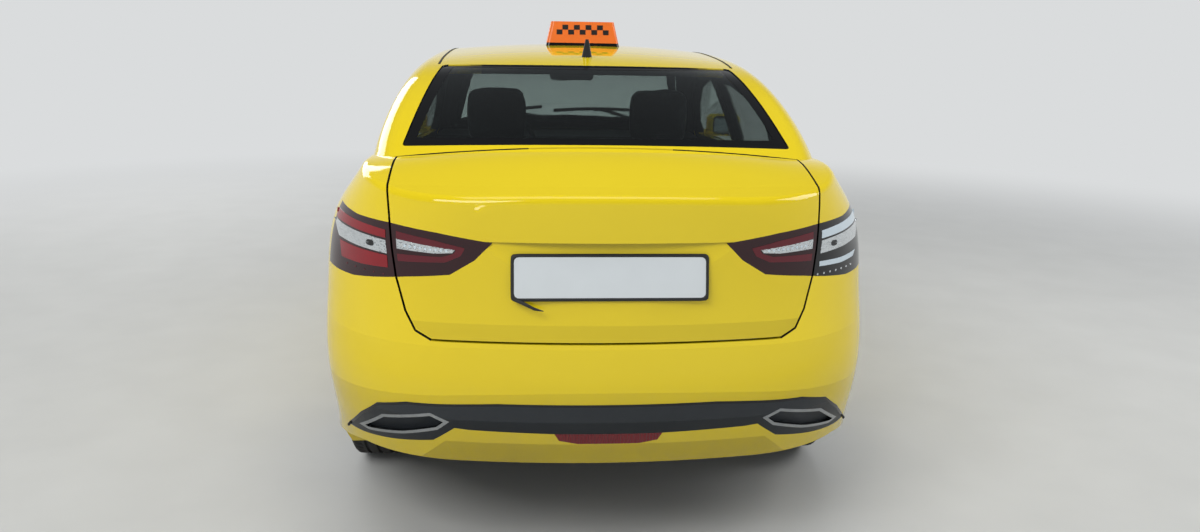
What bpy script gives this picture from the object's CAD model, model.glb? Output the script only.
"""A yellow taxi saloon, dressed for rendering: a lesson in cells."""
# %% [markdown]
# The car is built elsewhere as solid parts at real size. This lesson dresses those parts: it sets the
# camera and the light, gives each part the finish of the real one, and adds what is too fine or too
# soft for a solid. Everything is in metres, +Z up and +Y towards the nose, so +X is the car's right.

# %% Load the parts
import math

import bmesh
import bpy
import numpy as np
from mathutils import Matrix, Vector


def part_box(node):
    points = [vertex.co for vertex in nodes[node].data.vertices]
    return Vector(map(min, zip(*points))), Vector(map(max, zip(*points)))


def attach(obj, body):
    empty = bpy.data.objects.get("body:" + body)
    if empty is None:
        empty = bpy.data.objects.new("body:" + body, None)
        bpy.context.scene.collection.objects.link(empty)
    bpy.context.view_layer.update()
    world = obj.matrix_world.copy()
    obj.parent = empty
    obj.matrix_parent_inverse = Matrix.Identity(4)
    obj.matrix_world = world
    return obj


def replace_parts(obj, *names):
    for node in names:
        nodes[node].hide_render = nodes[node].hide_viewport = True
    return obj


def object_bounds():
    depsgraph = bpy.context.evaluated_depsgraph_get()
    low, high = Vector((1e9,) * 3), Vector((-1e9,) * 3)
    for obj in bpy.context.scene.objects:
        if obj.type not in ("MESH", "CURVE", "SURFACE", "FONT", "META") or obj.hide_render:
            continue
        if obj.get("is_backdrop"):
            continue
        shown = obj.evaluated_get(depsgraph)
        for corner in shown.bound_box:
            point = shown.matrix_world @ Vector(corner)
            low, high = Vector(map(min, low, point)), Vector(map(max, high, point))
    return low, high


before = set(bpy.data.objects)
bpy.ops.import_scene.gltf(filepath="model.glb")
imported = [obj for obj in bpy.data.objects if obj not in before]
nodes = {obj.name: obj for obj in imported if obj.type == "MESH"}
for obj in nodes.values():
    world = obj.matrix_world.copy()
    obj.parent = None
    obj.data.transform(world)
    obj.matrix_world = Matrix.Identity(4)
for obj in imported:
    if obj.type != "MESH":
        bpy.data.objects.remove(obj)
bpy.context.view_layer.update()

# %% [markdown]
# The camera stands behind the car, a little left of its middle and at roof height. Its focal length
# is stated in pixels of the 1200 x 532 picture, because that is how it was worked out from the car's
# known sizes, and is turned into millimetres for a 36 mm sensor.

# %% Camera
picture_width = 1200
focal_pixels = 900.0
sensor_width = 36.0
camera_place = Vector((-0.211, -4.503, 1.496))
camera_yaw, camera_pitch, camera_roll = (math.radians(a) for a in (4.45, 13.8, 1.0))

camera_data = bpy.data.cameras.new("camera")
camera_data.sensor_width = sensor_width
camera_data.lens = focal_pixels / picture_width * sensor_width
camera = bpy.data.objects.new("camera", camera_data)
bpy.context.scene.collection.objects.link(camera)
camera.matrix_world = (Matrix.Translation(camera_place) @ Matrix.Rotation(-camera_yaw, 4, "Z")
                       @ Matrix.Rotation(math.pi / 2 - camera_pitch, 4, "X")
                       @ Matrix.Rotation(camera_roll, 4, "Z"))
bpy.context.scene.camera = camera
bpy.context.scene.view_settings.view_transform = "Standard"
print("lens", camera_data.lens, "mm")

# %% [markdown]
# Two helpers serve every material. One turns a colour as a painter would write it, #rrggbb, into the
# linear numbers that a shader works with. The other adds a node with its settings and its links, so
# that a whole material reads as a short list.

# %% Colour and node helpers
def srgb(code, alpha=1.0):
    """Undoes the sRGB curve: a straight part near black, and a power of 2.4 above it."""
    parts = [int(code[i:i + 2], 16) / 255 for i in (1, 3, 5)]
    return [c / 12.92 if c <= 0.04045 else ((c + 0.055) / 1.055) ** 2.4 for c in parts] + [alpha]


def add(tree, kind, inputs=(), **settings):
    """Adds one shader node of a kind. Settings are its own properties, and inputs give a socket a value
    or a feed."""
    node = tree.nodes.new("ShaderNode" + kind)
    for key, value in settings.items():
        setattr(node, key, value)
    for key, value in dict(inputs).items():
        if isinstance(value, bpy.types.NodeSocket):
            tree.links.new(value, node.inputs[key])
        else:
            node.inputs[key].default_value = value
    return node


def material(name, sockets):
    """A new material whose Principled shader gets these values. Returns it, its tree and its shader."""
    made = bpy.data.materials.new(name)
    made.use_nodes = True
    shader = made.node_tree.nodes["Principled BSDF"]
    for key, value in sockets.items():
        shader.inputs[key].default_value = value
    return made, made.node_tree, shader


# %% [markdown]
# A soft studio: a pale floor that fades into the same pale tone as the walls, so that no horizon shows.
# The sky lights the car evenly. What the camera, a mirror or a pane sees of it is the plain background,
# pale all round and grey overhead. A rear window lies so flat that it mirrors the ceiling, and a pale
# ceiling would hide the cabin behind a white film. Soft lamps give the panels their highlights.

# %% Floor and sky
background = srgb("#DADCDD")
floor_reach = 60.0
fade_start, fade_end = 3.2, 9.0

floor_material, tree, shader = material("pale_studio_floor", {"Roughness": 0.75})
place = add(tree, "TexCoord")
distance = add(tree, "VectorMath", {0: place.outputs["Object"]}, operation="LENGTH")
fade = add(tree, "MapRange", {"Value": distance.outputs["Value"], "From Min": fade_start,
                                        "From Max": fade_end}, interpolation_type="SMOOTHSTEP")
speckle = add(tree, "TexNoise", {"Vector": place.outputs["Object"], "Scale": 3.0, "Detail": 6.0})
tone = add(tree, "Mix", {"Factor": speckle.outputs["Fac"], "A": srgb("#C2C2BF"), "B": srgb("#CDCDCA")},
           data_type="RGBA")
tree.links.new(tone.outputs["Result"], shader.inputs["Base Color"])
glow = add(tree, "Emission", {"Color": background, "Strength": 1.0})
both = add(tree, "MixShader", {"Fac": fade.outputs["Result"], 1: shader.outputs[0], 2: glow.outputs[0]})
tree.links.new(both.outputs[0], tree.nodes["Material Output"].inputs["Surface"])

floor_mesh = bpy.data.meshes.new("floor")
floor_corners = [(x * floor_reach, y * floor_reach, 0) for x, y in ((-1, -1), (1, -1), (1, 1), (-1, 1))]
floor_mesh.from_pydata(floor_corners, [], [(0, 1, 2, 3)])
floor = bpy.data.objects.new("floor", floor_mesh)
floor.data.materials.append(floor_material)
bpy.context.scene.collection.objects.link(floor)
floor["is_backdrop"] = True

world = bpy.data.worlds.new("studio")
bpy.context.scene.world = world
world.use_nodes = True
tree = world.node_tree
sky = tree.nodes["Background"]
sky.inputs["Color"].default_value = srgb("#E6EAEE")
sky.inputs["Strength"].default_value = 0.62
ray = add(tree, "LightPath")
seen = add(tree, "Math", {0: ray.outputs["Is Camera Ray"], 1: ray.outputs["Is Transmission Ray"]},
           operation="MAXIMUM")
seen = add(tree, "Math", {0: seen.outputs[0], 1: ray.outputs["Is Glossy Ray"]}, operation="MAXIMUM")
direction = add(tree, "SeparateXYZ", {"Vector": add(tree, "TexCoord").outputs["Generated"]})
overhead = add(tree, "MapRange", {"Value": direction.outputs["Z"], "From Min": 0.08, "From Max": 0.50},
               interpolation_type="SMOOTHSTEP")
plain_tone = add(tree, "Mix", {"Factor": overhead.outputs["Result"], "A": background,
                                         "B": srgb("#55585B")}, data_type="RGBA")
plain_sky = add(tree, "Background", {"Color": plain_tone.outputs["Result"], "Strength": 1.0})
mixed = add(tree, "MixShader", {"Fac": seen.outputs[0], 1: sky.outputs[0], 2: plain_sky.outputs[0]})
tree.links.new(mixed.outputs[0], tree.nodes["World Output"].inputs["Surface"])


# %% Lamps
def lamp(name, place, aim, size, watts):
    """A rectangular soft lamp at a place, turned towards its aim."""
    data = bpy.data.lights.new(name, "AREA")
    data.shape = "RECTANGLE"
    data.size, data.size_y = size
    data.energy = watts
    made = bpy.data.objects.new(name, data)
    bpy.context.scene.collection.objects.link(made)
    made.location = place
    made.rotation_euler = (Vector(aim) - Vector(place)).to_track_quat("-Z", "Y").to_euler()


lamp("behind_left", (-3.5, -6.0, 5.5), (0, -1, 0.6), (4, 3), 225)
lamp("overhead", (0, -1.6, 6.0), (0, -1.0, 0), (4, 3), 70)
lamp("right", (5.5, -1.5, 4.5), (0, 0, 0.6), (3, 3), 120)
lamp("front_left", (-4.5, 5.5, 4.0), (0, 1, 0.6), (4, 3), 140)

# %% [markdown]
# The enamel is what the eye meets first: a solid yellow under clear lacquer, bright where it faces the
# light, duller where road dust has settled low on the panels. Two things are drawn with bump instead
# of shape. One is the faint orange peel of sprayed lacquer. The other is each pressed crease, where a
# flat stretch of panel turns by a few degrees: a height that falls in proportion to the distance past
# a line tilts the shading by a constant angle, which is just what the press does to the steel.
# The inner face of a panel is hidden by trim or underseal. It is told from the outer face by its
# normal, which points back towards the middle of the car. Round the glass the edges are trim as well.
# The lacquer alone reflects: the pigment under it has about the same index, so it has no gloss of its own.

# %% Enamel
def crease(tree, height, value, limit, tilt):
    """Adds to a height tilt times the distance of value past the limit, and nothing before it."""
    past = add(tree, "Math", {0: value, 1: limit}, operation="SUBTRACT")
    kept = add(tree, "Math", {0: past.outputs[0], 1: 0.0}, operation="MAXIMUM")
    return add(tree, "Math", {0: kept.outputs[0], 1: tilt, 2: height}, operation="MULTIPLY_ADD").outputs[0]


peel_size = 0.006      # real orange peel is about 2 mm across, drawn three times as coarse to show
peel_depth = 0.00001
dust_top, dust_low = 0.62, 0.16
car_heart = 0.62       # the height, in metres, that inner faces look towards


def enamel(name, creases=None, trimmed=True):
    """Yellow body enamel. Creases is a function of (tree, height, x, y, z) that gives a new height. A
    trimmed panel has its inner face covered."""
    made, tree, shader = material(name, {
        "Specular IOR Level": 0.0, "Coat Roughness": 0.05, "Coat IOR": 1.5})
    place = add(tree, "TexCoord").outputs["Object"]
    parts = add(tree, "SeparateXYZ", {"Vector": place})
    fading = add(tree, "TexNoise", {"Vector": place, "Scale": 1.6, "Detail": 3.0})
    yellow = add(tree, "Mix", {"Factor": fading.outputs["Fac"], "A": srgb("#E3C614"), "B": srgb("#E7CE22")},
                 data_type="RGBA")
    low = add(tree, "MapRange", {"Value": parts.outputs["Z"], "From Min": dust_top, "From Max": dust_low,
                                           "To Max": 0.62})
    cloud = add(tree, "TexNoise", {"Vector": place, "Scale": 9.0, "Detail": 8.0, "Roughness": 0.65})
    dust = add(tree, "Math", {0: low.outputs["Result"], 1: cloud.outputs["Fac"]}, operation="MULTIPLY")
    colour = add(tree, "Mix", {"Factor": dust.outputs[0], "A": yellow.outputs["Result"],
                                         "B": srgb("#8D8062")}, data_type="RGBA")
    rough = add(tree, "MapRange", {"Value": dust.outputs[0], "To Min": 0.34, "To Max": 0.8})
    from_heart = add(tree, "VectorMath", {0: place, 1: (0, 0, car_heart)}, operation="SUBTRACT")
    across = add(tree, "VectorMath", {0: from_heart.outputs[0], 1: (1, 0, 1)}, operation="MULTIPLY")
    normal = add(tree, "VectorTransform", {
        "Vector": add(tree, "NewGeometry").outputs["True Normal"]},
        vector_type="NORMAL", convert_from="WORLD", convert_to="OBJECT")
    facing = add(tree, "VectorMath", {0: across.outputs[0], 1: normal.outputs[0]}, operation="DOT_PRODUCT")
    by_glass = add(tree, "Math", {
        0: add(tree, "MapRange", {"Value": parts.outputs["Z"], "From Min": 1.00, "From Max": 1.05,
                                            "To Max": 0.2}).outputs["Result"],
        1: add(tree, "Math", {0: parts.outputs["Y"], 1: -1.76}, operation="GREATER_THAN").outputs[0]},
        operation="MULTIPLY")
    facing = add(tree, "Math", {0: facing.outputs["Value"], 1: by_glass.outputs[0]}, operation="SUBTRACT")
    inside = add(tree, "MapRange", {"Value": facing.outputs[0], "From Min": -0.02, "From Max": -0.08})
    lined = add(tree, "Mix", {"Factor": inside.outputs["Result"], "A": colour.outputs["Result"],
                                        "B": srgb("#2A2B2C")}, data_type="RGBA")
    dulled = add(tree, "Math", {0: rough.outputs["Result"], 1: inside.outputs["Result"]},
                 operation="MAXIMUM")
    lacquer = add(tree, "Math", {0: 1.0, 1: inside.outputs["Result"]}, operation="SUBTRACT")
    if trimmed:
        tree.links.new(lined.outputs["Result"], shader.inputs["Base Color"])
        tree.links.new(dulled.outputs[0], shader.inputs["Roughness"])
        tree.links.new(lacquer.outputs[0], shader.inputs["Coat Weight"])
    else:
        tree.links.new(colour.outputs["Result"], shader.inputs["Base Color"])
        shader.inputs["Coat Weight"].default_value = 1.0
    peel = add(tree, "TexNoise", {"Vector": place, "Scale": 1 / peel_size, "Detail": 1.0})
    height = add(tree, "Math", {0: peel.outputs["Fac"], 1: peel_depth}, operation="MULTIPLY").outputs[0]
    if creases:
        height = creases(tree, height, parts.outputs["X"], parts.outputs["Y"], parts.outputs["Z"])
    bump = add(tree, "Bump", {"Height": height, "Distance": 1.0})
    tree.links.new(bump.outputs[0], shader.inputs["Normal"])
    return made


lid_line_y, lid_line_bow = -2.083, 0.27      # where the flat of the lid ends: y grows with x squared
lid_low_z = 0.757                            # the crease above the lid's lower edge
bumper_step_z = 0.692
bumper_fold_z, bumper_fold_bow = 0.574, -0.075
chamfer_z = 0.418                            # the lip's lower face starts here, and ends at a slanted line
slant_place = (0.430, 0.438)                 # a point (x, z) of that line
slant_normal = (0.668, 0.744)                # its unit normal
lid_flat_tilt, lid_low_tilt = -0.16, -0.30   # how far the panel turns past each line: the tangent of the angle
step_tilt, fold_tilt, chamfer_tilt = -0.30, -0.34, -0.75


def lid_creases(tree, height, x, y, z):
    """Past the bowed line (bow times x squared, less y) the lid's flat ends, and under the low line its
    face turns in."""
    square = add(tree, "Math", {0: x, 1: x}, operation="MULTIPLY")
    behind = add(tree, "Math", {0: y, 1: -1.0}, operation="MULTIPLY")
    bowed = add(tree, "Math", {0: square.outputs[0], 1: lid_line_bow, 2: behind.outputs[0]},
                operation="MULTIPLY_ADD")
    height = crease(tree, height, bowed.outputs[0], -lid_line_y, lid_flat_tilt)
    down = add(tree, "Math", {0: z, 1: -1.0}, operation="MULTIPLY")
    return crease(tree, height, down.outputs[0], -lid_low_z, lid_low_tilt)


def bumper_creases(tree, height, x, y, z):
    """The bumper has a step at its top, and a bowed fold (bow times x squared, less z) over its insert.
    The lip's lower face is as far in as the lesser of two distances: below a level, and past a slant."""
    square = add(tree, "Math", {0: x, 1: x}, operation="MULTIPLY")
    down = add(tree, "Math", {0: z, 1: -1.0}, operation="MULTIPLY")
    fold = add(tree, "Math", {0: square.outputs[0], 1: bumper_fold_bow, 2: down.outputs[0]},
               operation="MULTIPLY_ADD")
    height = crease(tree, height, z, bumper_step_z, step_tilt)
    height = crease(tree, height, fold.outputs[0], -bumper_fold_z, fold_tilt)
    from_middle = add(tree, "Math", {0: x}, operation="ABSOLUTE")
    inwards = add(tree, "Math", {
        0: from_middle.outputs[0], 1: -slant_normal[0], 2: np.dot(slant_normal, slant_place)},
        operation="MULTIPLY_ADD")
    slanted = add(tree, "Math", {0: z, 1: -slant_normal[1], 2: inwards.outputs[0]},
                  operation="MULTIPLY_ADD")
    below = add(tree, "Math", {0: chamfer_z, 1: z}, operation="SUBTRACT")
    both = add(tree, "Math", {0: slanted.outputs[0], 1: below.outputs[0]}, operation="MINIMUM")
    return crease(tree, height, both.outputs[0], 0.0, chamfer_tilt)


taxi_enamel = enamel("taxi_enamel")
lid_enamel = enamel("lid_enamel", lid_creases)
bumper_enamel = enamel("bumper_enamel", bumper_creases)
mirror_enamel = enamel("mirror_enamel", trimmed=False)

# %% [markdown]
# Moulded plastics come in three kinds here. The bumper insert, cowl and grilles are coloured through
# and grained, so they look dull and slightly grey. The lamps are clear or red acrylic over dark
# housings, so they are glossy. The cabin plastic is grained and darker. One function makes all the
# grained ones, because they differ only in colour, grain width and gloss.

# %% Plastics
def grained(name, code, grain=0.0016, depth=0.00012, roughness=0.55):
    """Grained moulded plastic: small cells pressed into it, and a colour that varies a little."""
    made, tree, shader = material(name, {"Roughness": roughness, "IOR": 1.49})
    place = add(tree, "TexCoord").outputs["Object"]
    cells = add(tree, "TexVoronoi", {"Vector": place, "Scale": 1 / (2 * grain)}, feature="F1")
    height = add(tree, "Math", {0: cells.outputs["Distance"], 1: depth}, operation="MULTIPLY")
    bump = add(tree, "Bump", {"Height": height.outputs[0], "Distance": 1.0}, name="grain")
    tree.links.new(bump.outputs[0], shader.inputs["Normal"])
    dust = add(tree, "TexNoise", {"Vector": place, "Scale": 7.0, "Detail": 8.0, "Roughness": 0.7})
    base = srgb(code)
    colour = add(tree, "Mix", {"Factor": dust.outputs["Fac"], "A": [c * 0.8 for c in base[:3]] + [1],
                                         "B": [c * 1.1 + 0.008 for c in base[:3]] + [1]}, data_type="RGBA")
    tree.links.new(colour.outputs["Result"], shader.inputs["Base Color"])
    return made


insert_plastic = grained("blue_grey_abs", "#1B2127", roughness=0.5)
black_plastic = grained("black_polypropylene", "#1A1B1C")
cabin_plastic = grained("cabin_polypropylene", "#26282A", grain=0.002)
tank_plastic = grained("polyethylene_tank", "#191A1B", grain=0.004, roughness=0.5)


def glossy(name, code, variation=0.12, roughness=0.08, **more):
    """Smooth moulded plastic with a slow change of tone from the tool."""
    sockets = {"Roughness": roughness, "IOR": 1.49}
    made, tree, shader = material(name, {**sockets, **more})
    place = add(tree, "TexCoord").outputs["Object"]
    tone = add(tree, "TexNoise", {"Vector": place, "Scale": 14.0, "Detail": 2.0})
    base = srgb(code)
    colour = add(tree, "Mix", {
        "Factor": tone.outputs["Fac"], "A": [c * (1 - variation) for c in base[:3]] + [1],
        "B": [c * (1 + variation) for c in base[:3]] + [1]}, data_type="RGBA")
    tree.links.new(colour.outputs["Result"], shader.inputs["Base Color"])
    return made


dark_red_acrylic = glossy("dark_red_acrylic", "#2A050B")
red_acrylic = glossy("red_acrylic", "#860A17")
deep_red_acrylic = glossy("deep_red_acrylic", "#5C0D1B")
smoked_acrylic = glossy("smoked_acrylic", "#0A0B0C")
piano_black = glossy("piano_black", "#0C0C0D")
sign_acrylic = glossy("orange_acrylic", "#E8701C", variation=0.05, roughness=0.3)
check_film = glossy("black_vinyl", "#17120E", roughness=0.35)
light_guide = glossy("white_light_guide", "#C9D6DE", variation=0.05, roughness=0.2)
plate_sheet = glossy("plate_sheet", "#D3D8DA", variation=0.03, roughness=0.3)

# %% [markdown]
# The fog lamp's lens has upright ribs on its inside, which spread the light. Waves along x, 9 mm apart,
# bend the shading as the ribs do. The wave texture repeats every pi / 10 of its scale. The insert is
# folded along its middle, and its lower half turns down: the same crease as in the enamel, fed into the
# bump that already holds the grain.

# %% Ribbed lens and folded insert
rib_pitch, rib_depth = 0.009, 0.002
insert_fold_z, insert_fold_tilt = 0.487, -0.6

ribbed_lens = glossy("ribbed_red_acrylic", "#6A0A16")
tree = ribbed_lens.node_tree
place = add(tree, "TexCoord").outputs["Object"]
ribs = add(tree, "TexWave", {"Vector": place, "Scale": math.pi / 10 / rib_pitch}, bands_direction="X")
bump = add(tree, "Bump", {"Height": ribs.outputs["Fac"], "Distance": rib_depth})
tree.links.new(bump.outputs[0], tree.nodes["Principled BSDF"].inputs["Normal"])

tree = insert_plastic.node_tree
place = add(tree, "TexCoord").outputs["Object"]
parts = add(tree, "SeparateXYZ", {"Vector": place})
down = add(tree, "Math", {0: parts.outputs["Z"], 1: -1.0}, operation="MULTIPLY")
height = crease(tree, 0.0, down.outputs[0], -insert_fold_z, insert_fold_tilt)
folded = add(tree, "Bump", {"Height": height, "Distance": 1.0})
tree.links.new(folded.outputs[0], tree.nodes["grain"].inputs["Normal"])
print("ribs every", rib_pitch * 1000, "mm")

# %% [markdown]
# A clear lamp window shows a bright reflector cut into fine facets. Small Voronoi cells tilt a metal
# surface this way and that, and each facet then mirrors another part of the studio.

# %% Lamp reflector, chrome and glass
facet_size = 0.006

reflector, tree, shader = material("faceted_reflector", {
    "Base Color": srgb("#D3D8DA"), "Metallic": 0.9, "Roughness": 0.12, "Coat Weight": 1.0})
place = add(tree, "TexCoord").outputs["Object"]
facets = add(tree, "TexVoronoi", {"Vector": place, "Scale": 1 / facet_size}, feature="F1")
bump = add(tree, "Bump", {"Height": facets.outputs["Distance"], "Distance": facet_size / 3})
tree.links.new(bump.outputs[0], shader.inputs["Normal"])

chrome, tree, shader = material("chromed_plastic", {"Metallic": 1.0, "Roughness": 0.1})
place = add(tree, "TexCoord").outputs["Object"]
haze = add(tree, "TexNoise", {"Vector": place, "Scale": 60.0, "Detail": 4.0})
tone = add(tree, "Mix", {"Factor": haze.outputs["Fac"], "A": srgb("#85888B"), "B": srgb("#A3A6A8")},
           data_type="RGBA")
tree.links.new(tone.outputs["Result"], shader.inputs["Base Color"])


def pane(name, code, roughness=0.0):
    """Toughened glass. Its tint takes light on the way in and again on the way out. A faint film of
    dust, seen as a roughness that varies, keeps it from looking like a hole."""
    made, tree, shader = material(name, {
        "Base Color": srgb(code), "Transmission Weight": 1.0, "IOR": 1.5, "Coat Weight": 0.0})
    place = add(tree, "TexCoord").outputs["Object"]
    film = add(tree, "TexNoise", {"Vector": place, "Scale": 4.0, "Detail": 6.0})
    rough = add(tree, "MapRange", {"Value": film.outputs["Fac"], "From Min": 0.45, "From Max": 0.9,
                                             "To Min": roughness, "To Max": roughness + 0.05})
    tree.links.new(rough.outputs["Result"], shader.inputs["Roughness"])
    return made


clear_glass = pane("clear_glass", "#B9C6C2")
tinted_glass = pane("tinted_glass", "#BAC4C1")
mirror_glass, tree, shader = material("mirror_glass", {"Metallic": 1.0, "Roughness": 0.02})
place = add(tree, "TexCoord").outputs["Object"]
film = add(tree, "TexNoise", {"Vector": place, "Scale": 12.0})
tone = add(tree, "Mix", {"Factor": film.outputs["Fac"], "A": srgb("#9AA3A8"), "B": srgb("#A9B2B6")},
           data_type="RGBA")
tree.links.new(tone.outputs["Result"], shader.inputs["Base Color"])

# %% [markdown]
# Tyre rubber is a soft black that never shines, greyed by dust. Metals below the car are cast iron,
# welded steel with black primer, bare steel that has begun to rust, and aluminium.

# %% Rubber and metals
def aged(name, clean, dirty, metallic, roughness, scale, spread=0.5, depth=0.0003):
    """A surface with patches of a second colour, where it is also rougher and slightly raised."""
    made, tree, shader = material(name, {"Metallic": metallic})
    place = add(tree, "TexCoord").outputs["Object"]
    patches = add(tree, "TexNoise", {"Vector": place, "Scale": scale, "Detail": 9.0, "Roughness": 0.68})
    share = add(tree, "MapRange", {"Value": patches.outputs["Fac"], "From Min": spread - 0.12,
                                             "From Max": spread + 0.2})
    colour = add(tree, "Mix", {"Factor": share.outputs["Result"], "A": srgb(clean), "B": srgb(dirty)},
                 data_type="RGBA")
    rough = add(tree, "MapRange", {"Value": share.outputs["Result"], "To Min": roughness,
                                             "To Max": min(roughness + 0.35, 0.95)})
    height = add(tree, "Math", {0: patches.outputs["Fac"], 1: depth}, operation="MULTIPLY")
    bump = add(tree, "Bump", {"Height": height.outputs[0], "Distance": 1.0})
    tree.links.new(colour.outputs["Result"], shader.inputs["Base Color"])
    tree.links.new(rough.outputs["Result"], shader.inputs["Roughness"])
    tree.links.new(bump.outputs[0], shader.inputs["Normal"])
    return made


tyre_rubber = aged("tyre_rubber", "#1B1B1C", "#3B3833", 0.0, 0.72, 30.0)
cast_iron = aged("cast_iron", "#4A4B4B", "#5B4634", 0.7, 0.6, 40.0)
primed_steel = aged("primed_steel", "#161718", "#3A3127", 0.1, 0.45, 22.0)
bare_steel = aged("bare_steel", "#8B8A86", "#7A5235", 0.85, 0.35, 18.0, spread=0.58)
cast_aluminium = aged("radiator_aluminium", "#8D9092", "#6C6A64", 0.9, 0.4, 30.0)
wheel_lacquer = aged("silver_wheel_lacquer", "#A6A9AC", "#6E675C", 0.55, 0.3, 16.0, spread=0.6, depth=0.0)
underseal = aged("underseal", "#2B2A26", "#4A4336", 0.0, 0.8, 24.0, depth=0.001)

# %% [markdown]
# The seats wear a woven cloth. Its threads cross every 1.2 mm, too fine to show through a tinted
# window, so they are drawn three times as coarse. Two sets of waves at right angles make the weave.

# %% Seat cloth
thread = 0.0012 * 3

seat_cloth, tree, shader = material("woven_seat_cloth", {"Roughness": 0.9, "Sheen Weight": 0.4})
place = add(tree, "TexCoord").outputs["Object"]
waves = [add(tree, "TexWave", {"Vector": place, "Scale": 1 / thread / 6.3, "Distortion": 0.3},
             bands_direction=axis).outputs["Fac"] for axis in ("X", "Z")]
weave = add(tree, "Math", {0: waves[0], 1: waves[1]}, operation="MULTIPLY")
tone = add(tree, "Mix", {"Factor": weave.outputs[0], "A": srgb("#1B1C1E"), "B": srgb("#3B3D41")},
           data_type="RGBA")
bump = add(tree, "Bump", {"Height": weave.outputs[0], "Distance": 0.0008})
tree.links.new(tone.outputs["Result"], shader.inputs["Base Color"])
tree.links.new(bump.outputs[0], shader.inputs["Normal"])

# %% [markdown]
# Now each solid gets its finish. A node's name starts with what it is, so a short table of name
# beginnings is enough, and the longest beginning that fits wins.

# %% Finishes of the solid parts
finishes = {
    "": black_plastic, "body_side": taxi_enamel, "front_fenders": taxi_enamel, "roof_panel": taxi_enamel,
    "bonnet": taxi_enamel, "boot_lid": lid_enamel, "rear_bumper": bumper_enamel, "front_bumper": taxi_enamel,
    "door_": taxi_enamel, "mirror_": mirror_enamel, "glass_": tinted_glass, "glass_front": clear_glass,
    "windscreen": clear_glass, "rear_window": tinted_glass, "tail_lamp_left": dark_red_acrylic,
    "tail_lamp_right": smoked_acrylic, "boot_lamps": dark_red_acrylic, "rear_fog_lamp": ribbed_lens,
    "headlamps": smoked_acrylic, "bumper_insert": insert_plastic, "exhaust_trims": chrome,
    "rear_plate": plate_sheet, "roof_sign": sign_acrylic, "sign_base": piano_black, "antenna": piano_black,
    "tyre_": tyre_rubber, "rim_": wheel_lacquer, "dashboard": cabin_plastic, "steering_wheel": cabin_plastic,
    "parcel_shelf": cabin_plastic, "interior_mirror": cabin_plastic, "front_seats": seat_cloth,
    "rear_seat": seat_cloth, "floor_pan": underseal, "firewall": underseal, "engine": cast_iron,
    "front_subframe": primed_steel, "rear_axle": primed_steel, "driveshafts": bare_steel,
    "exhaust": bare_steel, "radiator": cast_aluminium, "fuel_tank": tank_plastic, "knuckle": cast_iron,
}
for name, node in nodes.items():
    start = max((key for key in finishes if name.startswith(key)), key=len)
    node.data.materials.clear()
    node.data.materials.append(finishes[start])
print(len(nodes), "solid parts have a finish")

# %% [markdown]
# New pieces are grids of points worked out as whole arrays. A grid needs only a rule that joins each
# point to its neighbours, which may run round in a ring in either direction. When a piece is done, its
# modifiers are applied, points that lie together are merged and its faces are turned outwards.

# %% Grids
def grid_faces(rows, columns, ring_rows=False, ring_columns=False):
    """Quads that join each point of a grid to its neighbours in the next row and column."""
    row = np.arange(rows if ring_rows else rows - 1)[:, None]
    column = np.arange(columns if ring_columns else columns - 1)[None, :]
    down, right = (row + 1) % rows, (column + 1) % columns
    corners = [row * columns + column, down * columns + column, down * columns + right, row * columns + right]
    return np.stack(np.broadcast_arrays(*corners), -1).reshape(-1, 4)


def shape(name, points, faces, finish, body="root"):
    """A smooth mesh from arrays of points and quads, in its place, that rides on a body."""
    mesh = bpy.data.meshes.new(name)
    mesh.vertices.add(len(points))
    mesh.vertices.foreach_set("co", np.ascontiguousarray(points, np.float32).ravel())
    mesh.loops.add(faces.size)
    mesh.loops.foreach_set("vertex_index", faces.ravel())
    mesh.polygons.add(len(faces))
    mesh.polygons.foreach_set("loop_start", np.arange(0, faces.size, faces.shape[1]))
    mesh.update(calc_edges=True)
    mesh.materials.append(finish)
    made = bpy.data.objects.new(name, mesh)
    bpy.context.scene.collection.objects.link(made)
    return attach(made, body)


def applied(piece):
    """Gives the piece the mesh that its modifiers make, and clears them."""
    graph = bpy.context.evaluated_depsgraph_get()
    mesh = bpy.data.meshes.new_from_object(piece.evaluated_get(graph))
    piece.modifiers.clear()
    piece.data = mesh
    return mesh


def settle(piece, flat_angle=40):
    """Applies the piece's modifiers, merges its doubles and turns its faces outwards. Edges sharper
    than the flat angle stay crisp."""
    mesh = applied(piece)
    work = bmesh.new()
    work.from_mesh(mesh)
    bmesh.ops.remove_doubles(work, verts=work.verts, dist=1e-6)
    bmesh.ops.dissolve_degenerate(work, edges=work.edges, dist=1e-6)
    bmesh.ops.recalc_face_normals(work, faces=work.faces)
    work.to_mesh(mesh)
    work.free()
    mesh.polygons.foreach_set("use_smooth", np.ones(len(mesh.polygons), bool))
    mesh.set_sharp_from_angle(angle=math.radians(flat_angle))
    return piece


# %% [markdown]
# Much of a car's trim is a thin piece that follows a panel: a lamp's bright bar, a window's black
# border, a rubber strip. Such a piece is drawn flat, in real sizes, as a grid between two edges or a
# fan round a middle. Then a Shrinkwrap modifier throws it along an axis on to the panel, and Solidify
# gives it depth. It fits whatever the panel's curve, and follows it if the panel changes.

# %% Trim that follows a panel
def spaced(line, count):
    """Points at equal steps along a broken line, by interpolation on the distance walked."""
    line = np.array(line, float)
    walked = np.r_[0, np.cumsum(np.hypot(*np.diff(line, axis=0).T))]
    steps = np.linspace(0, walked[-1], count)
    return np.stack([np.interp(steps, walked, line[:, i]) for i in (0, 1)], -1)


def between(upper, lower, across=48, down=6):
    """A grid whose rows are weighted means of an upper and a lower line."""
    share = np.linspace(0, 1, down)[:, None, None]
    return (1 - share) * spaced(upper, across) + share * spaced(lower, across)


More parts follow.
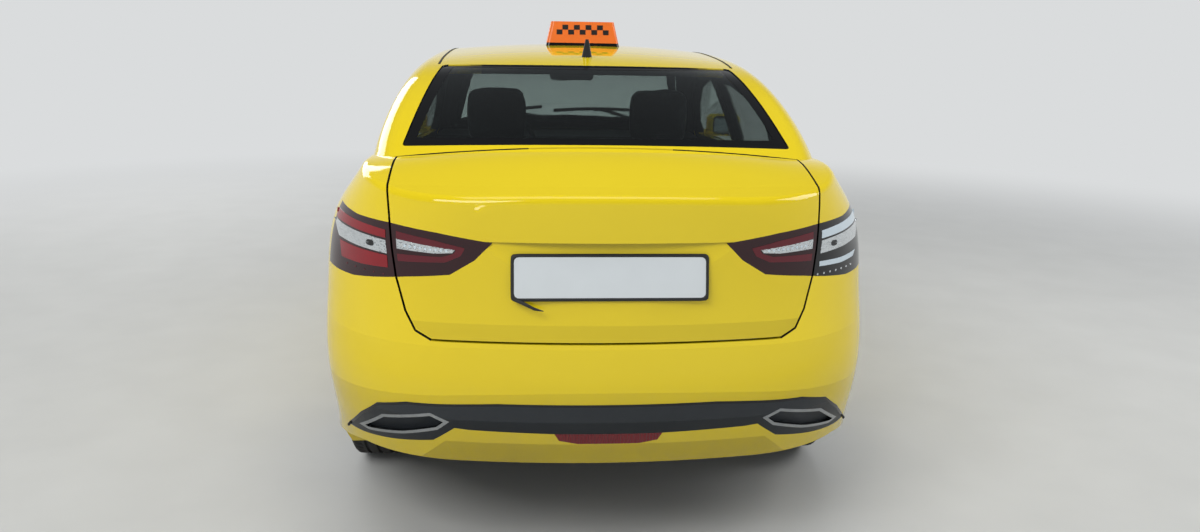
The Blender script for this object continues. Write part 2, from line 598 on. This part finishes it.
def fan(edge, across=48, down=8):
    """A grid whose rows shrink a closed outline towards the mean of its points."""
    edge = spaced(list(edge) + [edge[0]], across + 1)[:-1]
    share = np.linspace(1, 0, down)[:, None, None]
    return edge.mean(0) + share * (edge - edge.mean(0))


def rounded(x0, x1, z0, z1, radius, steps=6):
    """The outline of a rectangle with round corners: a quarter circle about each corner's centre."""
    turn = np.linspace(0, math.pi / 2, steps)
    corners = [(x1 - radius, z1 - radius, 0), (x0 + radius, z1 - radius, 1),
               (x0 + radius, z0 + radius, 2), (x1 - radius, z0 + radius, 3)]
    return np.concatenate([
        np.stack([cx + radius * np.cos(turn + q * math.pi / 2), cz + radius * np.sin(turn + q * math.pi / 2)], -1)
        for cx, cz, q in corners])


def mend_misses(piece, axis, start, flat):
    """A point that went past the panel's edge takes its depth from the nearest point that hit."""
    points = np.empty(len(flat) * 3, np.float32)
    piece.data.vertices.foreach_get("co", points)
    points = points.reshape(-1, 3)
    missed = np.abs(points[:, axis] - start) < 1e-4
    if missed.any():
        gaps = np.linalg.norm(flat[missed][:, None] - flat[~missed][None], axis=-1)
        points[missed] = np.insert(flat[missed], axis, points[~missed][gaps.argmin(1), axis], axis=1)
        piece.data.vertices.foreach_set("co", points.ravel())
    return int(missed.sum())


def laid(name, flats, panel, finish, body="root", away="-Y", lift=0.5, thick=1.2, ring=False):
    """Throws flat grids, given in the two other axes, on to a panel from the away side. The piece
    stands lift millimetres off the panel and is thick millimetres deep."""
    axis, side = "XYZ".index(away[1]), 1 if away[0] == "+" else -1
    start = side * 3.0
    flat = np.concatenate([grid.reshape(-1, 2) for grid in flats])
    before = np.cumsum([0] + [grid.shape[0] * grid.shape[1] for grid in flats])
    faces = [grid_faces(*grid.shape[:2], ring_columns=ring) + n for grid, n in zip(flats, before)]
    piece = shape(name, np.insert(flat, axis, start, axis=1), np.concatenate(faces), finish, body)
    wrap = piece.modifiers.new("follow", "SHRINKWRAP")
    wrap.target, wrap.wrap_method, wrap.wrap_mode = nodes[panel], "PROJECT", "ABOVE_SURFACE"
    wrap.offset = lift / 1000
    setattr(wrap, f"use_project_{away[1].lower()}", True)
    wrap.use_positive_direction, wrap.use_negative_direction = side < 0, side > 0
    applied(piece)
    missed = mend_misses(piece, axis, start, flat)
    if missed:
        print(name, missed, "of", len(flat), "points went past the panel")
    depth = piece.modifiers.new("depth", "SOLIDIFY")
    depth.thickness, depth.offset = thick / 1000, 0.0
    return settle(piece)


def flipped(flat):
    """The same flat grid on the other side of the car."""
    return flat * np.array((-1, 1))


# %% [markdown]
# Each outer tail lamp has a bright red bar under its top edge, a clear window for the indicator and
# reversing bulbs, and a lower red bar. Across the gap, on the boot lid, a red light guide frames a
# clear strip with small dots. The right outer lamp is a replacement from another set: it is smoked
# black, its two bars are white, and a row of small bright dots runs along its lower edge.

# %% Tail lamps
upper_bar = between([(0.612, 0.994), (0.700, 1.003), (0.790, 1.014)],
                    [(0.612, 0.972), (0.700, 0.979), (0.790, 0.989)])
clear_bar = between([(0.612, 0.966), (0.700, 0.974), (0.800, 0.985)],
                    [(0.608, 0.930), (0.700, 0.936), (0.772, 0.944)])
lower_bar = between([(0.608, 0.925), (0.700, 0.930), (0.768, 0.935)],
                    [(0.606, 0.892), (0.690, 0.888), (0.760, 0.890)])
slim_bar = between([(0.606, 0.908), (0.690, 0.905), (0.765, 0.908)],
                   [(0.606, 0.894), (0.690, 0.890), (0.752, 0.893)])
bulb = fan(rounded(0.648, 0.672, 0.944, 0.960, 0.008))


def dots(first, last, count, radius):
    """Small discs at equal steps along a straight line."""
    centres = np.linspace(first, last, count)
    return [fan(rounded(x - radius, x + radius, z - radius, z + radius, radius * 0.99), 16, 3) for x, z in centres]


laid("tail_bars_left", [flipped(upper_bar), flipped(lower_bar)], "tail_lamp_left", red_acrylic)
laid("tail_window_left", [flipped(clear_bar)], "tail_lamp_left", reflector)
laid("tail_bulb_left", [flipped(bulb)], "tail_lamp_left", piano_black, lift=1.2)
laid("tail_bars_right", [upper_bar, slim_bar], "tail_lamp_right", light_guide)
laid("tail_window_right", [clear_bar], "tail_lamp_right", reflector)
laid("tail_bulb_right", [bulb], "tail_lamp_right", piano_black, lift=1.2)
laid("tail_dots_right", dots((0.60, 0.872), (0.74, 0.872), 7, 0.003), "tail_lamp_right", reflector)
laid("tail_dots_left", [flipped(d) for d in dots((0.62, 0.872), (0.74, 0.876), 5, 0.002)], "tail_lamp_left",
     deep_red_acrylic)

guide_edge = [(0.580, 0.995), (0.473, 0.980), (0.389, 0.962), (0.402, 0.940), (0.444, 0.921), (0.576, 0.914)]
guide_hole = [(0.580, 0.975), (0.478, 0.962), (0.413, 0.955), (0.421, 0.946), (0.452, 0.936), (0.578, 0.934)]
strip = between([(0.580, 0.974), (0.478, 0.963), (0.416, 0.957)], [(0.578, 0.948), (0.473, 0.944), (0.424, 0.948)])
guide = between(guide_edge, guide_hole, across=90, down=4)
laid("lid_guides", [guide, flipped(guide)], "boot_lamps", deep_red_acrylic, body="boot_lid")
laid("lid_strips", [strip, flipped(strip)], "boot_lamps", reflector, body="boot_lid")
spots = dots((0.440, 0.953), (0.555, 0.958), 9, 0.0035)
laid("lid_spots", spots + [flipped(s) for s in spots], "boot_lamps", light_guide, body="boot_lid", lift=1.2)

# %% [markdown]
# Inside each false tailpipe trim is a shallow black tray. Its rim is the trim's own inner edge, whose
# depth is read from the nearest points of the solid trim, so that the tray follows the bumper's corner.
# Further rows move in and shrink towards the middle, and the last one is a point.

# %% Trays inside the tailpipe trims
def depths_at(flat, node):
    """The y of the node's vertex nearest to each point in x and z."""
    mesh = nodes[node].data
    points = np.empty(len(mesh.vertices) * 3, np.float32)
    mesh.vertices.foreach_get("co", points)
    points = points.reshape(-1, 3)
    gaps = np.linalg.norm(flat[:, None] - points[None, :, (0, 2)], axis=-1)
    return points[gaps.argmin(1), 1]


trim_edge = [(0.712, 0.410), (0.634, 0.464), (0.494, 0.496), (0.450, 0.478), (0.478, 0.458), (0.575, 0.430),
             (0.678, 0.408)]
tray_rows = ((1.0, 0.006), (0.99, 0.020), (0.93, 0.050), (0.80, 0.058), (0.40, 0.060), (0.0, 0.060))
tray_wall = 0.0015
rim = spaced(trim_edge + [trim_edge[0]], 61)[:-1]
for word, mirror in (("right", 1), ("left", -1)):
    edge = rim * (mirror, 1)
    deep = depths_at(edge, "exhaust_trims")
    middle, middle_deep = edge.mean(0), deep.mean()
    rows = [np.insert(middle + share * (edge - middle), 1,
                      middle_deep + share * (deep - middle_deep) + inward, axis=1) for share, inward in tray_rows]
    tray = shape(f"trim_tray_{word}", np.concatenate(rows), grid_faces(len(rows), len(rim), False, True),
                 insert_plastic)
    wall = tray.modifiers.new("wall", "SOLIDIFY")
    wall.thickness, wall.offset = tray_wall, 0.0
    settle(tray)
print("tray rim at y", round(float(deep.min()), 3), "to", round(float(deep.max()), 3))

# %% [markdown]
# Three more pieces come from the same recipe. A bright black seal runs along the insert's upper edge.
# The fuel flap shows as a thin ring on the right wing. The door mirrors get a black bezel and, 0.8 mm
# further out, their glass.

# %% Seal, mirror glass and fuel flap
seal_line = [(-0.764, 0.379), (-0.706, 0.452), (-0.648, 0.504), (-0.560, 0.527), (-0.300, 0.540), (0.300, 0.540),
             (0.560, 0.527), (0.648, 0.504), (0.706, 0.452), (0.764, 0.379)]
seal = between(seal_line, [(x * 0.993, z - 0.006) for x, z in seal_line], across=140, down=3)
laid("insert_seal", [seal], "bumper_insert", piano_black, lift=0.4, thick=1.0)

flap_edge = spaced(list(rounded(-1.575, -1.425, 0.800, 0.945, 0.030)) + [(-1.425, 0.915)], 81)[:-1]
flap_middle = flap_edge.mean(0)
flap = np.stack([flap_middle + share * (flap_edge - flap_middle) for share in (1.0, 0.98, 0.96)])
laid("fuel_flap_line", [flap], "body_side_right", piano_black, away="+X", lift=0.1, thick=0.4, ring=True)

for word, mirror in (("right", 1), ("left", -1)):
    glass = fan(rounded(0.850, 0.985, 1.012, 1.106, 0.022))
    bezel = fan(rounded(0.842, 0.992, 1.004, 1.113, 0.026))
    if mirror < 0:
        glass, bezel = flipped(glass), flipped(bezel)
    laid(f"mirror_bezel_{word}", [bezel], f"mirror_{word}", piano_black, f"door_front_{word}", lift=0.4, thick=1.0)
    laid(f"mirror_glass_{word}", [glass], f"mirror_{word}", mirror_glass, f"door_front_{word}", lift=1.2, thick=1.0)

# %% [markdown]
# Each headlamp is a black housing. Three round bowls hold the bulbs, and a strip of daytime light runs
# below them. The same throw-and-thicken recipe lays them on the lamp, this time from
# the front. The bumper below has a wide black intake with slats, and a fog lamp at each end of it.

# %% Front lamps and intake
def disc(x, z, radius):
    """A round fan of the given radius about (x, z)."""
    return fan(rounded(x - radius, x + radius, z - radius, z + radius, radius * 0.999, steps=12), 44, 5)


bowls = [(0.530, 0.697, 0.027), (0.615, 0.717, 0.033), (0.705, 0.737, 0.027)]
bowl_discs = [disc(*b) for b in bowls]
rim_discs = [disc(x, z, r + 0.006) for x, z, r in bowls]
bulb_discs = [disc(x, z, 0.009) for x, z, r in bowls]
day_strip = between([(0.470, 0.660), (0.620, 0.668), (0.760, 0.700)],
                    [(0.470, 0.650), (0.620, 0.656), (0.760, 0.688)])
for name, flats, finish, lift in (
        ("headlamp_rims", rim_discs, chrome, 0.4), ("headlamp_bowls", bowl_discs, reflector, 1.2),
        ("headlamp_bulbs", bulb_discs, piano_black, 2.0), ("headlamp_strips", [day_strip], light_guide, 0.6)):
    laid(name, flats + [flipped(f) for f in flats], "headlamps", finish, away="+Y", lift=lift, thick=1.0)

intake_edge = [(-0.430, 0.300), (0.430, 0.300), (0.470, 0.455), (-0.470, 0.455)]
laid("intake_panel", [between(intake_edge[3:1:-1], intake_edge[:2], 60, 12)], "front_bumper", black_plastic,
     away="+Y", lift=0.4, thick=1.0)
slats = [between([(-0.44, z + 0.005), (0.44, z + 0.005)], [(-0.44, z - 0.005), (0.44, z - 0.005)], 60, 3)
         for z in np.linspace(0.322, 0.436, 5)]
laid("intake_slats", slats, "front_bumper", piano_black, away="+Y", lift=3.0, thick=5.0)
fog_disc, fog_rim = disc(0.600, 0.372, 0.036), disc(0.600, 0.372, 0.050)
laid("fog_rims_front", [fog_rim, flipped(fog_rim)], "front_bumper", black_plastic, away="+Y", lift=0.6, thick=1.2)
laid("fog_lamps_front", [fog_disc, flipped(fog_disc)], "front_bumper", reflector, away="+Y", lift=1.8, thick=1.0)

# %% [markdown]
# The number plate is a pressed white sheet in a black plastic frame. The frame is a band with a
# rounded section, carried round the plate's edge. Its lower left corner is broken, and a splinter of
# it hangs down. The plate itself stays blank.

# %% Number plate frame
plate_low, plate_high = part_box("rear_plate")
plate_middle = (plate_low + plate_high) / 2
plate_lean = math.atan2(0.048, 0.239)     # the recess is 48 mm deeper at its top, over 239 mm
plate_half_x, plate_half_up = 0.260, 0.056
frame_band = 0.011


def on_plate(points):
    """Turns points of (across, out, up) by the plate's lean and moves them to the plate's middle."""
    across, out, up = np.moveaxis(np.asarray(points, float), -1, 0)
    cos, sin = math.cos(plate_lean), math.sin(plate_lean)
    return np.stack([across + plate_middle.x, plate_middle.y - out * cos + up * sin,
                     plate_middle.z + out * sin + up * cos], -1)


turn = np.linspace(0, 2 * math.pi, 12, endpoint=False)
ring = spaced(list(rounded(-plate_half_x, plate_half_x, -plate_half_up, plate_half_up, 0.012))
              + [(plate_half_x, 0.044)], 161)[:-1]
outward = np.stack([np.sign(ring[:, 0]) * (np.abs(ring[:, 0]) > plate_half_x - 0.013),
                    np.sign(ring[:, 1]) * (np.abs(ring[:, 1]) > plate_half_up - 0.013)], -1)
section = np.stack([frame_band / 2 * np.cos(turn) + frame_band / 4, 0.0065 * np.sin(turn)], -1)
frame_points = np.stack([
    ring[:, None, 0] + outward[:, None, 0] * section[None, :, 0],
    np.broadcast_to(section[None, :, 1], (len(ring), 12)),
    ring[:, None, 1] + outward[:, None, 1] * section[None, :, 0]], -1)
settle(shape("plate_frame", on_plate(frame_points).reshape(-1, 3), grid_faces(len(ring), 12, True, True),
             black_plastic, "boot_lid"))

splinter_line = np.array([(-0.262, 0.004, -0.058), (-0.235, 0.008, -0.068), (-0.205, 0.013, -0.083),
                          (-0.180, 0.016, -0.089)])
splinter_width = np.array([0.0035, 0.0055, 0.0045, 0.001])
splinter = splinter_line[:, None, :] + splinter_width[:, None, None] * np.stack(
    [0 * turn, 0.5 * np.sin(turn), np.cos(turn)], -1)[None]
settle(shape("frame_splinter", on_plate(splinter).reshape(-1, 3), grid_faces(4, 12, False, True),
             black_plastic, "boot_lid"))

# %% [markdown]
# The roof sign carries two staggered rows of black checks on both faces, as taxis have for a hundred
# years. Its faces lean back, so each check's corners are placed on the plane of the face: the distance
# from the sign's middle falls in step with the height.

# %% Roof sign checks
sign_low, sign_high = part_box("roof_sign")
sign_middle = (sign_low + sign_high) / 2
foot_z, foot_half, top_half = 1.470, 0.075, 0.048
check_width, check_height = 0.0255, 0.0205
upper_row_z, lower_row_z = 1.5695, 1.5487


def check_rows(side):
    """Centres of the checks, then their four corners, then the depth of the face at each corner."""
    centres = [((i - 1.5) * 2 * check_width, upper_row_z) for i in range(4)]
    centres += [((i - 2) * 2 * check_width, lower_row_z) for i in range(5)]
    corner = np.array([(-0.5, -0.5), (0.5, -0.5), (0.5, 0.5), (-0.5, 0.5)]) * (check_width, check_height)
    flat = (np.array(centres)[:, None] + corner[None]).reshape(-1, 2)
    share = (flat[:, 1] - foot_z) / (sign_high.z - foot_z)
    depth = foot_half + (top_half - foot_half) * share + 0.0006
    return np.stack([flat[:, 0] + sign_middle.x, sign_middle.y + side * depth, flat[:, 1]], -1)


for side, word in ((-1, "rear"), (1, "front")):
    points = check_rows(side)
    quads = np.arange(len(points)).reshape(-1, 4)[:, ::-side]
    checks = shape(f"sign_checks_{word}", points, quads, check_film)
    depth = checks.modifiers.new("depth", "SOLIDIFY")
    depth.thickness, depth.offset = 0.0005, 0.0
    settle(checks)

# %% [markdown]
# Panes are bonded behind a black printed border, and rubber strips edge the side windows. The border
# of the rear window and windscreen is a ring between the pane's outline and the same outline shrunk.
# Black film covers the door posts between the side windows and the divider of the quarter pane.

# %% Window borders and rubber strips
def bowed(half0, y0, middle0, half1, y1, middle1, inset, count=30):
    """The outline of a pane seen from above: two bowed ends joined by straight sides, inset."""
    share = np.linspace(-1, 1, count)
    first = np.stack([share * (half0 - inset), middle0 + (y0 - middle0) * share ** 2], -1)
    second = np.stack([-share * (half1 - inset), middle1 + (y1 - middle1) * share ** 2], -1)
    toward = math.copysign(inset, y1 - y0)
    return list(first + (0, toward)) + list(second - (0, toward))


def border(name, panel, outline, wide):
    """A black border, wide metres across, just inside a pane's outline."""
    outer, inner = (spaced(edge + [edge[0]], 241)[:-1] for edge in (bowed(*outline, 0.004), bowed(*outline, wide)))
    share = np.linspace(0, 1, 5)[:, None, None]
    laid(name, [(1 - share) * outer + share * inner], panel, piano_black, away="+Z", lift=0.2, thick=0.6, ring=True)


rear_outline = (0.613, -1.670, -1.755, 0.543, -1.000, -1.123)
front_outline = (0.690, 1.072, 1.102, 0.545, 0.330, 0.385)
border("rear_window_border", "rear_window", rear_outline, 0.042)
border("windscreen_border", "windscreen", front_outline, 0.050)

for word, mirror in (("right", 1), ("left", -1)):
    away = "+X" if mirror > 0 else "-X"
    front_post = between([(-0.2105, 1.372), (-0.138, 1.369)], [(-0.2105, 1.034), (-0.138, 1.029)], 8, 40)
    rear_post = between([(-0.294, 1.366), (-0.2195, 1.372)], [(-0.294, 1.041), (-0.2195, 1.035)], 8, 40)
    laid(f"front_post_{word}", [front_post], f"door_front_{word}", piano_black, f"door_front_{word}", away, 0.3, 0.8)
    divider = between([(-0.998, 1.205), (-0.972, 1.222)], [(-0.998, 1.103), (-0.972, 1.101)], 6, 24)
    laid(f"rear_posts_{word}", [rear_post, divider], f"door_rear_{word}", piano_black, f"door_rear_{word}",
         away, 0.3, 0.8)
    front_belt = between([(-0.205, 1.034), (0.700, 1.014)], [(-0.205, 1.020), (0.700, 1.000)], 60, 4)
    rear_belt = between([(-1.170, 1.118), (-0.224, 1.039)], [(-1.166, 1.104), (-0.224, 1.025)], 60, 4)
    laid(f"front_belt_{word}", [front_belt], f"door_front_{word}", black_plastic, f"door_front_{word}", away, 1.2, 3)
    laid(f"rear_belt_{word}", [rear_belt], f"door_rear_{word}", black_plastic, f"door_rear_{word}", away, 1.2, 3)
roof_low, roof_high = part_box("roof_panel")
strip_x = roof_high.x - 0.008
strip_ends = (roof_high.y - 0.02, -0.980)
roof_strip = between([(strip_x - 0.008, y) for y in strip_ends], [(strip_x, y) for y in strip_ends], 80, 3)
laid("roof_strips", [roof_strip, flipped(roof_strip)], "roof_panel", black_plastic, away="+Z", lift=0.6, thick=2)

# %% [markdown]
# A tyre is a profile carried round the axle. Four ribs are parted by three grooves 7 mm deep, and the
# shoulders are cut by slanted slots. The cut is a smooth step in the radius, so the tread is one
# closed surface. The same surface serves all four wheels.

# %% Tyres
tyre_radius, bead_radius = 0.311, 0.209
tread_half = 0.078
groove_depth = 0.007
groove_places, groove_half = (-0.038, 0.0, 0.038), 0.0045
slot_count, slot_share = 60, 0.30


def tyre_surface(around=480):
    """Radius and place across for each step round (u) and across (v) the tyre."""
    profile = [(-0.088, bead_radius), (-0.094, 0.222), (-0.0975, 0.250), (-0.0965, 0.272), (-0.0925, 0.290),
               (-0.086, 0.302), (-0.078, 0.3085)]
    profile += [(x, tyre_radius - 0.0025 * (x / tread_half) ** 2) for x in np.linspace(-0.074, 0.074, 51)]
    profile += [(-x, r) for x, r in profile[6::-1]]
    place, radius = np.array(profile).T
    turn = np.linspace(0, 2 * math.pi, around, endpoint=False)[:, None]
    cut = np.zeros((around, len(place)))
    for groove in groove_places:
        cut = np.maximum(cut, np.clip(2.5 - 2 * np.abs(place - groove) / groove_half, 0, 1))
    wave = (turn * slot_count / (2 * math.pi) + np.abs(place) * 18) % 1
    slot = np.clip((slot_share - np.abs(wave - 0.5)) * 8, 0, 1) * (np.abs(wave - 0.5) < slot_share)
    on_shoulder = np.clip((np.abs(place) - 0.050) * 200, 0, 1) * np.clip((0.090 - np.abs(place)) * 200, 0, 1)
    cut = np.maximum(cut, 0.7 * slot * on_shoulder)
    radius = radius - groove_depth * cut * (radius > 0.295)
    return np.stack([np.broadcast_to(place, radius.shape), radius * np.cos(turn), radius * np.sin(turn)], -1)


tyre_points = tyre_surface()
for end in ("front", "rear"):
    for word in ("left", "right"):
        low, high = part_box(f"tyre_{end}_{word}")
        centre = np.array((low + high) / 2)
        rows, columns = tyre_points.shape[:2]
        tyre = shape(f"tread_{end}_{word}", (tyre_points + centre).reshape(-1, 3),
                     grid_faces(rows, columns, True, True), tyre_rubber, f"wheel_{end}_{word}")
        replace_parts(settle(tyre, 35), f"tyre_{end}_{word}")
print("a tyre has", 2 * len(tyre.data.polygons), "triangles")

# %% [markdown]
# The wheel's centre has a cap and five bolts. Both are short profiles turned about an axis: a point's
# distance from the axis and its height along it, for each step of a turn.

# %% Wheel caps and bolts
def turned(profile, centre, outward, steps=32):
    """Carries a profile of (distance from the axis, height) round an axis along x."""
    distance, height = np.array(profile, float).T
    turn = np.linspace(0, 2 * math.pi, steps, endpoint=False)[:, None]
    x, y, z = centre
    return np.stack([np.broadcast_to(x + outward * height, (steps, len(distance))),
                     y + distance * np.cos(turn), z + distance * np.sin(turn)], -1)


cap_profile = [(0.0, 0.010), (0.018, 0.009), (0.027, 0.006), (0.029, 0.0), (0.029, -0.004), (0.0, -0.004)]
bolt_profile = [(0.0, 0.011), (0.006, 0.011), (0.0075, 0.009), (0.0075, 0.001), (0.010, -0.001), (0.0, -0.001)]
bolt_circle, bolt_count = 0.050, 4
for end in ("front", "rear"):
    for word, outward in (("left", -1), ("right", 1)):
        low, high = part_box(f"rim_{end}_{word}")
        face_x = outward * 0.819
        y, z = (low.y + high.y) / 2, (low.z + high.z) / 2
        grids = [turned(cap_profile, (face_x, y, z), outward)]
        for n in range(bolt_count):
            angle = 2 * math.pi * (n + 0.5) / bolt_count
            spot = (face_x, y + bolt_circle * math.cos(angle), z + bolt_circle * math.sin(angle))
            grids.append(turned(bolt_profile, spot, outward, 12))
        points, faces, count = [], [], 0
        for grid in grids:
            faces.append(grid_faces(*grid.shape[:2], ring_rows=True) + count)
            points.append(grid.reshape(-1, 3))
            count += len(points[-1])
        settle(shape(f"wheel_centre_{end}_{word}", np.concatenate(points), np.concatenate(faces), wheel_lacquer,
                     f"wheel_{end}_{word}"), 30)

# %% [markdown]
# Seats are foam under cloth. Each cushion starts as a rounded block: a superellipsoid, whose cosines
# and sines are raised to a small power so that the sides come out nearly flat. It is remeshed, filled
# with pressure for twenty frames of cloth simulation, and never moves more than its cap. Then one
# subdivision smooths it. Equal seats share one simulated mesh.

# %% Padded pieces
def power(value, exponent):
    """Keeps the sign and raises the size to a power."""
    return np.sign(value) * np.abs(value) ** exponent


def block(size, squareness=0.32, rows=40, columns=72):
    """A superellipsoid of the given full size about the origin."""
    up = np.linspace(-math.pi / 2, math.pi / 2, rows)[:, None]
    turn = np.linspace(0, 2 * math.pi, columns, endpoint=False)[None, :]
    x = size[0] / 2 * power(np.cos(up), squareness) * power(np.cos(turn), squareness)
    y = size[1] / 2 * power(np.cos(up), squareness) * power(np.sin(turn), squareness)
    z = np.broadcast_to(size[2] / 2 * power(np.sin(up), squareness), x.shape)
    return np.stack([x, y, z], -1)


def leaned(points, lean, place):
    """Turns points about x by the lean in degrees and moves them to a place."""
    matrix = np.array(Matrix.Rotation(math.radians(lean), 3, "X"))
    return points @ matrix.T + np.array(place)


voxel = 0.012
swell_cap = 0.016


def padded(name, size, lean, place):
    """A cushion of that size: block, remesh, pressure, cap, subdivision."""
    points = leaned(block(np.array(size) - 0.012).reshape(-1, 3), lean, place)
    piece = settle(shape(name, points, grid_faces(40, 72, False, True), seat_cloth))
    remesh = piece.modifiers.new("even", "REMESH")
    remesh.mode, remesh.voxel_size = "VOXEL", voxel
    settle(piece)
    still = np.empty(len(piece.data.vertices) * 3, np.float32)
    piece.data.vertices.foreach_get("co", still)
    cloth = piece.modifiers.new("fill", "CLOTH")
    cloth.settings.use_pressure = True
    cloth.settings.uniform_pressure_force = 4.0
    cloth.settings.effector_weights.gravity = 0.0
    for step in range(1, 21):
        bpy.context.scene.frame_set(step)
    settle(piece)
    bpy.context.scene.frame_set(1)
    moved = np.empty_like(still)
    piece.data.vertices.foreach_get("co", moved)
    shift = (moved - still).reshape(-1, 3)
    reach = np.linalg.norm(shift, axis=1, keepdims=True)
    shift *= np.minimum(1, swell_cap / np.maximum(reach, 1e-9))
    piece.data.vertices.foreach_set("co", (still.reshape(-1, 3) + shift).astype(np.float32).ravel())
    smooth = piece.modifiers.new("smooth", "SUBSURF")
    smooth.levels = smooth.render_levels = 1
    settle(piece, 180)
    return piece


def twin(piece, name, shift):
    """A copy of a padded piece, moved across the car."""
    mesh = piece.data.copy()
    mesh.transform(Matrix.Translation((shift, 0, 0)))
    made = bpy.data.objects.new(name, mesh)
    bpy.context.scene.collection.objects.link(made)
    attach(made, "root")
    return made


seat_x = 0.370
seat_parts = {
    "front_cushion": ((0.50, 0.52, 0.19), 0, (-seat_x, 0.09, 0.405)),
    "front_back": ((0.50, 0.13, 0.66), 14, (-seat_x, -0.246, 0.705)),
    "front_rest": ((0.27, 0.10, 0.25), 8, (-seat_x, -0.330, 1.180)),
}
cushions = []
for name, (size, lean, place) in seat_parts.items():
    cushions.append(padded(f"{name}_left", size, lean, place))
    cushions.append(twin(cushions[-1], f"{name}_right", 2 * seat_x))
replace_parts(cushions[0], "front_seats")
bench = padded("rear_cushion", (1.22, 0.47, 0.15), 0, (0, -0.665, 0.495))
bench_back = padded("rear_back", (1.16, 0.14, 0.60), 20, (0, -1.033, 0.762))
rear_rest = padded("rear_rest_left", (0.25, 0.08, 0.12), 20, (-seat_x, -1.154, 1.095))
twin(rear_rest, "rear_rest_right", 2 * seat_x)
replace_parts(bench, "rear_seat")

# %% Finish
low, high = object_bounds()
